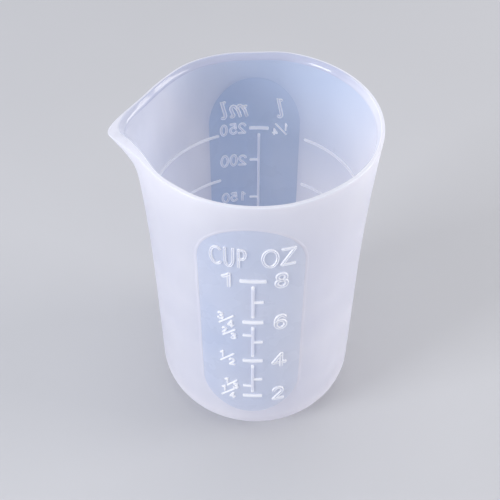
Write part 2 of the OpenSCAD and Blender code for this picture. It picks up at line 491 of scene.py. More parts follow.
@dataclass(frozen=True)
class Relief:
    """Section of a raised stroke: half its width, how far it stands out, and its root."""

    half_width: float = 0.5 * MM
    height: float = 0.5 * MM
    root: float = 0.3 * MM
    crown: Crown = Crown.ROUND
    end_steps: int = 4
    root_share: float = 0.6
    groove_share: float = 0.5

    def section(self) -> list[Vector]:
        """Return the section's points round its outline, as distance across and rise."""
        top = [Vector((-1, 0)), *(Vector(p) for p in self.crown.value), Vector((1, 0))]
        foot = [Vector((x, -self.root / self.height)) for x in (self.root_share, -self.root_share)]
        return [Vector((p.x * self.half_width, p.y * self.height)) for p in top + foot]

    def core(self) -> set[int]:
        """Return the section's points that lie in the groove between the rims."""
        points = enumerate(self.crown.value, 1)
        rimmed = self.crown is Crown.RIMMED
        return {k for k, (x, _) in points if abs(x) < self.groove_share} if rimmed else set()

    def stations(self, path: Path, closed: bool) -> list[tuple[Vector, Vector, float]]:
        """Return the places along a stroke with their direction and width share.

        Args:
            path: Points of the stroke's centre line.
            closed: Whether the stroke joins up with its start.

        Returns:
            Point, direction and share of the full width for each place.
        """
        points = [Vector((x, y)) for x, y in path]
        found = []
        for k, p in enumerate(points):
            before = points[k - 1] if k or closed else p
            after = points[(k + 1) % len(points)] if k < len(points) - 1 or closed else p
            found.append((p, (after - before).normalized(), 1.0))
        if closed:
            return found + found[:1]
        first, last = found[0], found[-1]
        caps = [math.pi / 2 * (k + 1) / self.end_steps for k in range(self.end_steps)]
        r = self.half_width
        start = [(first[0] - first[1] * r * math.sin(a), first[1], math.cos(a)) for a in reversed(caps)]
        end = [(last[0] + last[1] * r * math.sin(a), last[1], math.cos(a)) for a in caps]
        return start + found + end

    def sweep(self, bm: BMesh, path: Path, closed: bool) -> None:
        """Sweep the section along a stroke of a flat drawing.

        Args:
            bm: The mesh to add to, in which the height over the drawing is the third axis.
            path: Points of the stroke's centre line, in metres.
            closed: Whether the stroke joins up with its start.
        """
        shape, core = self.section(), self.core()
        groove = bm.verts.layers.int.get("groove") or bm.verts.layers.int.new("groove")
        ring, edges = Mould.first_ring(bm, len(shape))
        made_verts = []
        for index, (p, along, share) in enumerate(self.stations(path, closed)):
            if index:
                ring, edges = Mould.next_ring(bm, ring, edges)
            across = Vector((-along.y, along.x))
            for k, (v, corner) in enumerate(zip(ring, shape)):
                flat = p + across * (corner.x * share)
                v.co = (flat.x, flat.y, corner.y * share)
                # The groove between the rims takes the darker groove finish: painted shade.
                v[groove] = MarkCoat.GROOVE if k in core else MarkCoat.MARK
            made_verts += ring
        bmesh.ops.remove_doubles(bm, verts=made_verts, dist=MERGE)


@dataclass
class WallStations:
    """Heights and angles at which the wall's sheets meet, so that they share their edges."""

    form: CupForm
    low_rows: int = 50
    high_rows: int = 22
    across: int = 28
    rings: int = 8
    side_margin: float = 10.0
    spout_side_margin: float = 12.0
    margin_from: float = 0.7
    margin_rise: float = 0.27

    def heights(self) -> list[float]:
        """Return the heights of the wall's rows, one of them at the spout's start."""
        f = self.form
        low = [f.base_top + (f.spout_z - f.base_top) * k / self.low_rows for k in range(self.low_rows)]
        high = [f.spout_z + (f.lip_z - f.spout_z) * k / self.high_rows for k in range(self.high_rows + 1)]
        return low + high

    def spout_edge(self, sense: int) -> float:
        """Return the angle of the spout's edge, with sense 1 towards the front."""
        return self.form.spout_turn + sense * self.form.spout_span

    def left_edge(self, side: Side, z: float) -> float:
        """Return the angle of a window panel's edge on the spout's side."""
        if side is Side.REAR:
            return self.spout_edge(-1)
        rise = (z - self.margin_from * self.form.spout_z) / (self.margin_rise * self.form.spout_z)
        return self.spout_edge(1) - self.spout_side_margin * (1 - smooth_step(rise))

    def right_edge(self, side: Side) -> float:
        """Return the angle of a window panel's edge away from the spout."""
        f = self.form
        x = f.window_w / 2 - f.window_reserve
        return f.turn_at(side, x, f.base_top) + side.sense * self.side_margin


@dataclass
class Window:
    """One upright oval window and the panel of wall round it."""

    stations: WallStations
    side: Side
    rings: int = 13
    corner: float = 45.0
    bead: Relief = Relief(half_width=0.42 * MM, height=0.07 * MM, root=0.2 * MM)

    def corners(self) -> tuple[float, float, float, float]:
        """Return the oval's middle, half width and the heights of its two arc centres."""
        f = self.stations.form
        half = f.window_w / 2 + f.window_spread
        middle = f.front_shift if self.side is Side.FRONT else f.rear_shift
        return (middle, half, f.base_top + f.window_rise + half, f.height - f.window_drop - half)

    def outline(self) -> Path:
        """Return the oval's outline as x and height, from its lower left, by the right."""
        middle, half, low, high = self.corners()
        rows = self.stations.heights()
        across, corner = self.stations.across, self.corner

        def at(angle: float, centre: float) -> tuple[float, float]:
            a = math.radians(angle)
            return middle + half * math.cos(a), centre + half * math.sin(a)

        def edge(z: float) -> tuple[float, float]:
            if z < low:
                return at(-corner * (low - z) / (low - rows[0]), low)
            if z > high:
                return at(corner * (z - high) / (rows[-1] - high), high)
            return middle + half, z

        right = [edge(z) for z in rows]
        left = [(2 * middle - x, z) for x, z in reversed(right)]
        bottom = [at(180 + corner + 2 * corner * k / across, low) for k in range(1, across)]
        top = [at(corner + 2 * corner * k / across, high) for k in range(1, across)]
        return bottom + right + top + left

    def border(self) -> Path:
        """Return the panel's border as angle and height, in the outline's order."""
        s = self.stations
        rows = s.heights()
        right = s.right_edge(self.side)

        def span(z: float, share: float) -> tuple[float, float]:
            left = s.left_edge(self.side, z)
            return left + (right - left) * share, z

        bottom = [span(rows[0], k / s.across) for k in range(1, s.across)]
        top = [span(rows[-1], 1 - k / s.across) for k in range(1, s.across)]
        return bottom + [(right, z) for z in rows] + top + [span(z, 0) for z in reversed(rows)]

    def rolled(self, points: Path) -> Path:
        """Turn points of x and height into angle and height."""
        form = self.stations.form
        return [(form.turn_at(self.side, x, z), z) for x, z in points]

    def ringed(self, bm: BMesh, rings: Sequence[Path]) -> None:
        """Add a sheet that runs through closed rings of angle and height.

        Args:
            bm: The mesh to add to, which has the turn and height layers.
            rings: Rings with equally many points.
        """
        turn, height = bm.verts.layers.float["turn"], bm.verts.layers.float["height"]
        ring, edges = Mould.first_ring(bm, len(rings[0]))
        for index, points in enumerate(rings):
            if index:
                ring, edges = Mould.next_ring(bm, ring, edges)
            for v, (angle, z) in zip(ring, points):
                v[turn], v[height] = angle, z
                v.co = Vector((angle, z, 0))

    def add_panel(self, bm: BMesh) -> None:
        """Add the panel of wall between the oval and the panel's border."""
        oval, border = self.rolled(self.outline()), self.border()
        n = self.stations.rings
        rings = []
        for k in range(n + 1):
            t = k / n
            rings.append([(a + (c - a) * t, b + (d - b) * t) for (a, b), (c, d) in zip(oval, border)])
        self.ringed(bm, rings)

    def build(self, name: str) -> bpy.types.Object:
        """Build the window itself as a closed shell.

        Args:
            name: Name of the piece.

        Returns:
            The piece.
        """
        middle, half, low, high = self.corners()
        outline = self.outline()
        rings = []
        for k in range(self.rings + 1):
            t = k / self.rings
            rings.append([(x + (middle - x) * t, z + (max(low, min(high, z)) - z) * t) for x, z in outline])
        bm = new_sheet()
        self.ringed(bm, [self.rolled(ring) for ring in rings])
        Mould.thicken(bm, self.stations.form)
        return Mould.finish(bm, name)

    def build_bead(self, name: str) -> bpy.types.Object:
        """Build the fine bead round the window on the wall's outer face.

        Args:
            name: Name of the piece.

        Returns:
            The piece.
        """
        bm = bmesh.new()
        self.bead.sweep(bm, self.outline(), True)
        place = self.stations.form.outside(self.side)
        for v in bm.verts:
            v.co = place(*v.co)
        return Mould.finish_marks(bm, name)


def new_sheet() -> BMesh:
    """Return an empty mesh whose vertices can carry their turn and height."""
    bm = bmesh.new()
    bm.verts.layers.float.new("turn")
    bm.verts.layers.float.new("height")
    return bm


@dataclass
class CupBody:
    """The frosted base, wall and spout and the smooth lip."""

    form: CupForm
    stations: WallStations
    base_steps: int = 240
    heel_steps: int = 20
    floor_rings: int = 6
    under_spout_columns: int = 90
    right_columns: int = 72
    spout_columns: int = 200
    spout_rows: int = 44
    spout_crowding: float = 1.4
    lip_steps: int = 720
    lip_crowding: float = 1.25
    thick_more: float = 2.3 * MM
    thick_turn: float = 3.0
    thick_span: float = 18.0
    thick_back_span: float = 7.0
    thick_share: float = 0.6
    lip_out_r: float = 0.45 * MM
    lip_top: float = 0.45 * MM
    lip_edge_r: float = 0.35 * MM
    lip_lean: float = 33.0
    lip_turn_r: float = 2.2 * MM
    outer_share: float = 0.35
    edge_share: float = 0.7
    polished_band: float = 2.4 * MM
    edge_steps: int = 7

    def grid(self, bm: BMesh, columns: Sequence[Callable[[float], float]],
             rows: Sequence[float]) -> None:
        """Add a sheet of columns and rows.

        Args:
            bm: The mesh to add to.
            columns: For each column, its angle as a function of the height.
            rows: The rows' heights.
        """
        turn, height = bm.verts.layers.float["turn"], bm.verts.layers.float["height"]
        across, up = len(columns) - 1, len(rows) - 1
        place = Matrix.Diagonal((across, up, 1, 1)) @ Matrix.Translation((0.5, 0.5, 0))
        made = bmesh.ops.create_grid(bm, x_segments=across, y_segments=up, size=0.5, matrix=place)
        for v in made["verts"]:
            z = rows[round(v.co.y)]
            v[turn], v[height] = columns[round(v.co.x)](z), z
            v.co = Vector((v[turn], z, 0))

    def build_base(self) -> bpy.types.Object:
        """Spin the floor and the rounded heel, with the joint to the wall as second material."""
        f, n = self.form, self.floor_rings
        inner_r = f.heel_r - f.wall
        outer = f.heel_arc(f.heel_r, 0, 0, self.heel_steps)
        inner = f.heel_arc(inner_r, f.floor, f.wall, self.heel_steps)
        land = [(f.wall_r(f.base_top), f.base_top), (f.wall_r(f.base_top) - f.wall, f.base_top)]
        floor = [(outer[0][0] * k / n, 0.0) for k in range(n)]
        inside = [(inner[0][0] * k / n, f.floor) for k in reversed(range(n))]
        bm = Mould.spun(floor + outer + land + inner[::-1] + inside, False, self.base_steps)
        for face in bm.faces:
            face.material_index = int(all(v.co.z > f.base_top - MERGE for v in face.verts))
        return Mould.finish(bm, "frosted_base")

    def build_wall(self, windows: Sequence[Window]) -> bpy.types.Object:
        """Build the tapered wall, open at both windows and at the spout.

        Args:
            windows: The two windows.

        Returns:
            The piece.
        """
        s = self.stations
        rows = s.heights()
        low = rows[: s.low_rows + 1]
        bm = new_sheet()
        for window in windows:
            window.add_panel(bm)

        def under_spout(share: float) -> Callable[[float], float]:
            start = s.spout_edge(-1)
            return lambda z: start + (s.left_edge(Side.FRONT, z) - start) * share

        left, right = self.under_spout_columns, self.right_columns
        self.grid(bm, [under_spout(k / left) for k in range(left + 1)], low)
        start, end = s.right_edge(Side.FRONT), s.right_edge(Side.REAR) + 360
        self.grid(bm, [(lambda z, a=start + (end - start) * k / right: a) for k in range(right + 1)], rows)
        Mould.thicken(bm, self.form)
        return Mould.finish(bm, "frosted_wall")

    def build_spout(self) -> bpy.types.Object:
        """Build the part of the wall that is drawn out into the pouring spout."""
        f = self.form
        half = self.spout_columns // 2
        columns = []
        for k in range(-half, half + 1):
            share = k / half
            turn = f.spout_turn + math.copysign(f.spout_span * abs(share) ** self.spout_crowding, share)
            columns.append(lambda z, a=turn: a)
        rows = [f.spout_z + (f.lip_z - f.spout_z) * k / self.spout_rows for k in range(self.spout_rows + 1)]
        bm = new_sheet()
        self.grid(bm, columns, rows)
        Mould.thicken(bm, f)
        return Mould.finish(bm, "frosted_spout")

    def lip_outline(self) -> Path:
        """Return the lip's outline as distance outside the outer face and height."""
        f, n = self.form, self.edge_steps
        lean = math.radians(self.lip_lean)
        top = -self.lip_out_r - self.lip_top
        r, edge = self.lip_out_r, self.lip_edge_r
        outer = [math.pi / 2 * k / n for k in range(n + 1)]
        inner = [math.pi / 2 + (math.pi / 2 - lean) * k / n for k in range(n + 1)]
        outline = [(0.0, f.lip_z), (0.0, f.lip_z + f.lip_band * self.outer_share)]
        outline += [(r * (math.cos(a) - 1), f.height + r * (math.sin(a) - 1)) for a in outer]
        outline += [(top + edge * math.cos(a), f.height + edge * (math.sin(a) - 1)) for a in inner]
        out, z = outline[-1]
        bend = self.lip_turn_r
        run = out + f.wall - bend * (1 - math.cos(lean))
        z -= run / math.tan(lean) + bend * math.sin(lean)
        for k in range(n + 1):
            a = lean * (1 - k / n)
            outline.append((bend * (1 - math.cos(a)) - f.wall, z + bend * math.sin(a)))
        return outline + [(-f.wall, f.lip_z)]

    def build_lip(self) -> bpy.types.Object:
        """Spin the lip's outline and let it follow the mouth and the spout."""
        f = self.form
        bm = Mould.spun([(f.mouth_r + out, z) for out, z in self.lip_outline()], True, self.lip_steps)
        for face in bm.faces:
            middle = face.calc_center_median()
            outside = math.hypot(middle.x, middle.y) > f.mouth_r - f.wall / 2
            if all(v.co.z < f.lip_z + MERGE for v in face.verts):
                coat = LipCoat.JOINT
            elif middle.z > f.height - (self.lip_out_r if outside else self.lip_edge_r * self.edge_share):
                inset = f.mouth_r - math.hypot(middle.x, middle.y)
                # The inner edge of the land takes the edge finish: a painted highlight, with painted shade
                # towards the back.
                coat = LipCoat.LAND if inset < self.lip_out_r + self.lip_top else LipCoat.EDGE
            elif outside:
                coat = LipCoat.OUTSIDE
            else:
                coat = LipCoat.SLOPE if middle.z > f.height - self.polished_band else LipCoat.INSIDE
            face.material_index = coat
        for v in bm.verts:
            off = math.degrees(math.atan2(v.co.y, v.co.x)) / 180
            turn = math.copysign(180 * abs(off) ** self.lip_crowding, off)
            out = math.hypot(v.co.x, v.co.y) - f.mouth_r
            inner = smooth_step((-out - self.lip_out_r) / self.lip_top)
            upper = smooth_step((v.co.z - f.lip_z) / (self.thick_share * f.lip_band))
            span = self.thick_span if turn > self.thick_turn else self.thick_back_span
            near = math.exp(-(((turn - self.thick_turn) / span) ** 2))
            out -= self.thick_more * inner * upper * near
            v.co = f.point(f.spout_turn + turn, v.co.z, out)
        return Mould.finish(bm, "polished_lip", sharp=60)


def arc(cx: float, cy: float, rx: float, ry: float, start: float, end: float, steps: int = 18) -> Path:
    """Return points along an oval arc, from start to end in degrees."""
    sweep = [math.radians(start + (end - start) * k / steps) for k in range(steps + 1)]
    return [(cx + rx * math.cos(a), cy + ry * math.sin(a)) for a in sweep]


def line(*points: tuple[float, float]) -> Stroke:
    """Return an open stroke through those points."""
    return list(points), False


def loop(cx: float, cy: float, rx: float, ry: float, steps: int) -> Stroke:
    """Return a closed oval stroke."""
    return arc(cx, cy, rx, ry, 0, 360, steps)[:-1], True


class Glyphs:
    """Letters and digits as strokes in a unit square, and whether each stroke is closed."""

    SHAPES: dict[str, list[Stroke]] = {
        "C": [line(*arc(0.62, 0.5, 0.6, 0.5, 52, 308, 26))],
        "U": [line((0, 1), (0, 0.7), *arc(0.5, 0.38, 0.5, 0.38, 180, 360), (1, 0.7), (1, 1))],
        "P": [line((0, 0), (0, 1)),
              line((0, 1), (0.3, 1), *arc(0.5, 0.74, 0.5, 0.26, 90, -90), (0.3, 0.48), (0, 0.48))],
        "O": [loop(0.5, 0.5, 0.5, 0.5, 36)],
        "Z": [line((0.04, 1), (1, 1)), line((1, 1), (0, 0)), line((0, 0), (1, 0))],
        "1": [line((0, 0.76), (0.5, 0.84), (0.92, 1)), line((0.92, 1), (0.92, 0))],
        "8": [loop(0.5, 0.755, 0.42, 0.245, 28), loop(0.5, 0.26, 0.5, 0.26, 30)],
        "6": [loop(0.5, 0.3, 0.5, 0.3, 30), line(*arc(0.56, 0.5, 0.56, 0.5, 196, 48, 22))],
        "4": [line((0.68, 1), (0, 0.28)), line((0, 0.28), (1, 0.28)), line((0.68, 1), (0.68, 0))],
        "2": [line(*arc(0.48, 0.72, 0.46, 0.28, 168, -38, 20), (0.05, 0)), line((0.05, 0), (1, 0))],
        "3": [line(*arc(0.44, 0.76, 0.44, 0.24, 150, -90, 16)),
              line(*arc(0.44, 0.27, 0.52, 0.27, 90, -150, 18))],
        "5": [line((0.92, 1), (0.2, 1)), line((0.2, 1), (0.1, 0.52)),
              line((0.1, 0.52), *arc(0.44, 0.33, 0.52, 0.33, 118, -150, 20))],
        "0": [loop(0.5, 0.5, 0.5, 0.5, 30)],
        "/": [line((0, 0), (1, 1))],
        "l": [line((0.2, 0.93), (0.62, 1), (0.3, 0.2), *arc(0.62, 0.14, 0.34, 0.14, 180, 300, 8))],
        "m": [line((0.02, 0.9), (0.17, 0.98), (0.04, 0)),
              line((0.1, 0.5), *arc(0.36, 0.74, 0.15, 0.26, 140, 0, 10), (0.42, 0)),
              line((0.48, 0.5), *arc(0.74, 0.74, 0.15, 0.26, 140, 0, 10), (0.8, 0.16),
                   *arc(0.88, 0.14, 0.1, 0.14, 180, 300, 6))],
    }


@dataclass(frozen=True)
class Lettering:
    """One letter or digit and the box that its centre lines fill, in millimetres."""

    glyph: str
    left: float
    low: float
    right: float
    high: float
    lean: float = 0.0

    def strokes(self) -> list[Stroke]:
        """Return the strokes at full size, in metres."""
        placed = []
        for path, closed in Glyphs.SHAPES[self.glyph]:
            points = []
            for x, y in path:
                z = self.low + (self.high - self.low) * y
                points.append(((self.left + (self.right - self.left) * x + self.lean * y) * MM, z * MM))
            placed.append((points, closed))
        return placed


def written(*rows: tuple) -> tuple[Lettering, ...]:
    """Return the letters of rows that give a glyph and its box."""
    return tuple(Lettering(*row) for row in rows)


@dataclass
class ScaleMarks:
    """Raised bars, rules, ticks and lettering on both windows."""

    form: CupForm
    relief: float = 0.5 * MM
    root: float = 0.3 * MM
    bar_w: float = 1.3 * MM
    rule_w: float = 0.95 * MM
    full_bar_l: float = 7.7 * MM
    bar_l: float = 6.3 * MM
    rear_bar_more: float = 0.15 * MM
    tick_l: float = 3.1 * MM
    rule_gap: float = 1.6 * MM
    front_shift: float = -0.15 * MM
    ml_heights: tuple[float, ...] = (84.1, 70.9, 54.0, 37.3, 20.7)
    inner_share: float = 0.6
    bright_end: float = 0.5 * MM
    bar_round: float = 0.3 * MM
    bar_steps: int = 3
    bar_rise: tuple[float, ...] = (0.25 * MM, 0.0, 0.1 * MM, 0.65 * MM)
    third_rise: tuple[float, ...] = (0.0, -0.35 * MM)
    letter: Relief = Relief(half_width=0.44 * MM, crown=Crown.RIMMED)
    digit: Relief = Relief(half_width=0.6 * MM, crown=Crown.RIMMED)
    rear_letter: Relief = Relief(half_width=0.6 * MM, crown=Crown.RIMMED)
    small: Relief = Relief(half_width=0.34 * MM, height=0.45 * MM)

    FRONT_LETTERS = written(
        ("C", -12.05, 87.95, -9.25, 94.95), ("U", -8.0, 87.85, -5.75, 95.15),
        ("P", -4.2, 87.8, -2.3, 95.0), ("O", 2.5, 88.1, 6.65, 95.1),
        ("Z", 7.8, 88.45, 11.35, 94.95))
    FRONT_DIGITS = written(
        ("1", -8.75, 78.78, -6.9, 84.08), ("8", 6.5, 78.78, 9.45, 84.48),
        ("6", 6.65, 59.38, 9.55, 65.28), ("4", 6.3, 40.18, 9.95, 46.18),
        ("2", 6.65, 22.08, 9.65, 28.08))
    FRONT_FRACTIONS = written(
        ("3", -10.55, 62.68, -9.05, 65.58), ("/", -10.25, 60.68, -6.05, 64.88),
        ("4", -7.65, 59.68, -6.05, 62.58),
        ("2", -9.35, 56.38, -8.15, 58.78), ("/", -9.15, 55.08, -5.65, 58.38),
        ("3", -6.65, 54.08, -5.35, 56.48),
        ("1", -10.15, 43.78, -9.45, 46.58), ("/", -10.15, 41.78, -6.15, 46.08),
        ("2", -7.45, 40.68, -5.85, 43.58),
        ("1", -8.95, 30.08, -8.25, 32.48), ("/", -8.25, 28.78, -5.35, 32.18),
        ("3", -6.25, 27.88, -4.95, 30.38),
        ("1", -9.95, 25.38, -9.15, 27.88), ("/", -10.15, 22.88, -6.15, 27.28),
        ("4", -7.45, 22.28, -5.95, 24.98))
    REAR_LETTERS = written(
        ("m", 3.83, 89.13, 9.45, 93.2, 0.5), ("l", 10.35, 89.1, 12.3, 95.54, 0.6),
        ("l", -8.06, 89.18, -5.98, 96.08, 0.6))
    REAR_DIGITS = written(
        ("2", 4.55, 82.35, 6.6, 85.99), ("5", 7.55, 82.4, 9.5, 86.15),
        ("0", 10.7, 82.4, 12.5, 86.25), ("2", 4.42, 68.97, 6.6, 72.74),
        ("0", 7.49, 69.09, 9.47, 73.37), ("0", 10.46, 69.23, 12.54, 73.62),
        ("1", 4.72, 52.76, 5.61, 56.33), ("5", 7.59, 52.89, 9.47, 56.48),
        ("0", 10.36, 53.03, 12.43, 56.84), ("1", 4.72, 35.92, 5.61, 39.5),
        ("0", 7.49, 35.95, 9.37, 39.75), ("0", 10.26, 36.1, 12.24, 40.01),
        ("5", 7.49, 19.62, 9.37, 23.31), ("0", 10.26, 19.67, 12.14, 23.58))
    REAR_FRACTIONS = written(
        ("1", -9.15, 84.25, -8.85, 86.7), ("/", -9.05, 82.66, -5.58, 86.09),
        ("4", -5.98, 81.94, -4.69, 84))

    def bar(self, bm: BMesh, left: float, right: float, low: float, high: float,
            dull: bool = False) -> None:
        """Add one straight raised mark with rounded edges to a flat drawing.

        Args:
            bm: The mesh to add to, in which the height over the drawing is the third axis.
            left: Its left end, as x seen from the front.
            right: Its right end.
            low: Its lower edge.
            high: Its upper edge.
            dull: Whether it takes the darker rule finish between its ends, painted shade, which holds for an
                upright one.
        """
        size = Vector((right - left, high - low, self.relief + self.root))
        centre = Vector(((left + right) / 2, (low + high) / 2, (self.relief - self.root) / 2))
        place = Matrix.Translation(centre) @ Matrix.Diagonal((*size, 1))
        cube = bmesh.ops.create_cube(bm, size=1, matrix=place)
        edges = list({e for v in cube["verts"] for e in v.link_edges})
        top = [e for e in edges if all(v.co.z > 0 for v in e.verts)]
        posts = [e for e in edges if abs(e.verts[0].co.z - e.verts[1].co.z) > MERGE]
        before = set(bm.verts) - set(cube["verts"])
        groove = bm.verts.layers.int["groove"]
        bmesh.ops.bevel(bm, geom=top + posts, offset=self.bar_round, offset_type="OFFSET",
                        segments=self.bar_steps, profile=0.5, affect="EDGES", material=-1)
        fresh = [v for v in bm.verts if v not in before]
        axis = 0 if size.x > size.y else 1
        longest = [e for e in {e for v in fresh for e in v.link_edges}
                   if abs(e.verts[0].co[axis] - e.verts[1].co[axis]) > 0.5 * size[axis]]
        bmesh.ops.subdivide_edges(bm, edges=longest, cuts=math.ceil(size[axis] / MM), use_grid_fill=True)
        # Between its ends an upright mark takes the darker rule finish: painted shade.
        for v in bm.verts if dull else ():
            aside = max(left - v.co.x, v.co.x - right)
            end = min(v.co.y - low, high - v.co.y)
            if aside < MERGE and end > self.bright_end:
                v[groove] = MarkCoat.RULE

    def build_scale(self, side: Side, name: str) -> bpy.types.Object:
        """Build the bars, the rule and the ticks of one side.

        Args:
            side: The side of the cup.
            name: Name of the piece.

        Returns:
            The piece.
        """
        bm = bmesh.new()
        bm.verts.layers.int.new("groove")
        level = self.form.level_z
        ounce = self.form.ounce_ml
        rule = self.rule_w / 2
        end = self.bar_w / 2 + self.rule_gap
        if side is Side.FRONT:
            bars = [level(oz * ounce) + rise for oz, rise in zip((8, 6, 4, 2), self.bar_rise)]
            x = self.front_shift
            for k, z in enumerate(bars):
                half = (self.bar_l if k else self.full_bar_l) / 2
                self.bar(bm, x - half, x + half, z - self.bar_w / 2, z + self.bar_w / 2)
            for upper, lower in zip(bars, bars[1:]):
                self.bar(bm, x - rule, x + rule, lower + end, upper - end, dull=True)
            for z in (level(oz * ounce) for oz in (7, 5, 3)):
                self.bar(bm, x, x + self.tick_l, z - rule, z + rule)
            for z in (level(8 * ounce * part / 3) + rise for part, rise in zip((2, 1), self.third_rise)):
                self.bar(bm, x - self.tick_l, x, z - rule, z + rule)
        else:
            marks = [z * MM for z in self.ml_heights]
            half = self.bar_l / 2 + self.rear_bar_more
            self.bar(bm, -half, half, marks[0] - self.bar_w / 2, marks[0] + self.bar_w / 2)
            self.bar(bm, -rule, rule, marks[-1] - rule, marks[0] - end, dull=True)
            for z in marks[1:]:
                self.bar(bm, -self.tick_l, 0, z - rule, z + rule)
        return self.on_both_faces(bm, side, name, 1.0)

    def build_lettering(self, side: Side, name: str) -> bpy.types.Object:
        """Build one side's raised letters, numbers and fractions.

        Args:
            side: The side of the cup.
            name: Name of the piece.

        Returns:
            The piece.
        """
        if side is Side.FRONT:
            sets = ((self.FRONT_LETTERS, self.letter), (self.FRONT_DIGITS, self.digit),
                    (self.FRONT_FRACTIONS, self.small))
        else:
            sets = ((self.REAR_LETTERS, self.rear_letter), (self.REAR_DIGITS, self.letter),
                    (self.REAR_FRACTIONS, self.small))
        bm = bmesh.new()
        for letters, relief in sets:
            for letter in letters:
                for path, closed in letter.strokes():
                    relief.sweep(bm, path, closed)
        return self.on_both_faces(bm, side, name, side.sense)

    def on_both_faces(self, bm: BMesh, side: Side, name: str, sense: float) -> bpy.types.Object:
        """Put a flat drawing on a side's outer face, and a fainter one on its inner face.

        Args:
            bm: The drawing, which is used up.
            side: The side of the cup.
            name: Name of the piece.
            sense: 1, or -1 where the drawing is to be read from behind.

        Returns:
            The piece, with the materials of marks, grooves and rules in order.
        """
        outside, inside = self.form.outside(side), self.form.inside(side)
        copied = bmesh.ops.duplicate(bm, geom=bm.verts[:] + bm.edges[:] + bm.faces[:])["geom"]
        inner = {g for g in copied if isinstance(g, BMVert)}
        groove = bm.verts.layers.int["groove"]
        for f in bm.faces:
            f.material_index = min(v[groove] for v in f.verts)
        for v in bm.verts:
            x, z, out = v.co
            v.co = inside(sense * x, z, out * self.inner_share) if v in inner else outside(sense * x, z, out)
        return Mould.finish_marks(bm, name)


@dataclass
class LevelLines:
    """The raised lines on the inner wall at the even ounces."""

    form: CupForm
    line_w: float = 1.15 * MM
    relief: float = 0.5 * MM
    root: float = 0.15 * MM
    rise_per_ounce: float = 0.138 * MM
    steps: int = 90
    ounces: tuple[int, ...] = (2, 4, 6, 8)
    left_ends: tuple[float, float] = (114.7, 240.4)
    right_ends: tuple[float, float] = (-64.2, 61.6)

    def build(self, ends: tuple[float, float], name: str) -> bpy.types.Object:
        """Build one side's lines.

        Args:
            ends: Angles round the cup at which the lines start and end.
            name: Name of the piece.

        Returns:
            The piece.
        """
        form = self.form
        section = Relief(half_width=self.line_w / 2, height=self.relief, root=self.root)
        scale = form.mouth_r
        start, end = ends
        turns = [start + (end - start) * k / self.steps for k in range(self.steps + 1)]
        bm = bmesh.new()
        for ounces in self.ounces:
            z = form.level_z(ounces * form.ounce_ml) + self.rise_per_ounce * ounces
            section.sweep(bm, [(math.radians(turn) * scale, z) for turn in turns], False)
        for v in bm.verts:
            x, z, out = v.co
            v.co = form.point(math.degrees(x / scale), z, -form.wall - out)
        return Mould.finish_marks(bm, name)


@dataclass(frozen=True)
class Fade:
    """Painted light or shade: a colour that a finish passes into along a direction, and where in metres it
    does.
    """

    color: Color
    way: Triple
    start: float
    end: float


@dataclass(frozen=True)
class Finish:
    """One finish of the silicone."""

    name: str
    base: Color
    tint: Color
    rough: float = 0.5
    rough_spread: float = 0.1
    grain: float = 0.25
    grain_depth: float = 0.00002
    glow: float = 0.25
    alpha: float = 1.0
    coat: float = 0.0
    coat_rough: float = 0.1
    sheen: float = 0.0
    specular: float = 0.5
    # Strength of a glow in the finish's own colour: painted light, as the silicone is no lamp.
    light_pipe: float = 0.0
    # A colour that the finish passes into by place: painted light or shade.
    fade: Fade | None = None


class NodeTree:
    """A node tree with short calls to add and join nodes."""

    def __init__(self, tree: bpy.types.NodeTree) -> None:
        """Keep the tree and clear it."""
        self.tree = tree
        self.tree.nodes.clear()

    def add(self, kind: str, settings: dict[str, object] | None = None,
            numbered: dict[int, object] | None = None, **sockets: object) -> bpy.types.Node:
        """Add a node.

        Args:
            kind: The node's type.
            settings: Properties of the node.
            numbered: Input sockets by number, as a value or an output to join.
            sockets: Input sockets by name, with _ for a space, as a value or an output to join.

        Returns:
            The node.
        """
        node = self.tree.nodes.new(kind)
        for key, value in (settings or {}).items():
            setattr(node, key, value)
        given = {**(numbered or {}), **{key.replace("_", " "): value for key, value in sockets.items()}}
        for key, value in given.items():
            socket = node.inputs[key]
            if isinstance(value, bpy.types.NodeSocket):
                self.tree.links.new(value, socket)
            else:
                socket.default_value = value
        return node

    def blend(self, share: bpy.types.NodeSocket, near: object, far: object) -> bpy.types.NodeSocket:
        """Add a mix of two colours and return its result."""
        return self.add("ShaderNodeMix", {"data_type": "RGBA"}, {6: near, 7: far}, Factor=share).outputs[2]


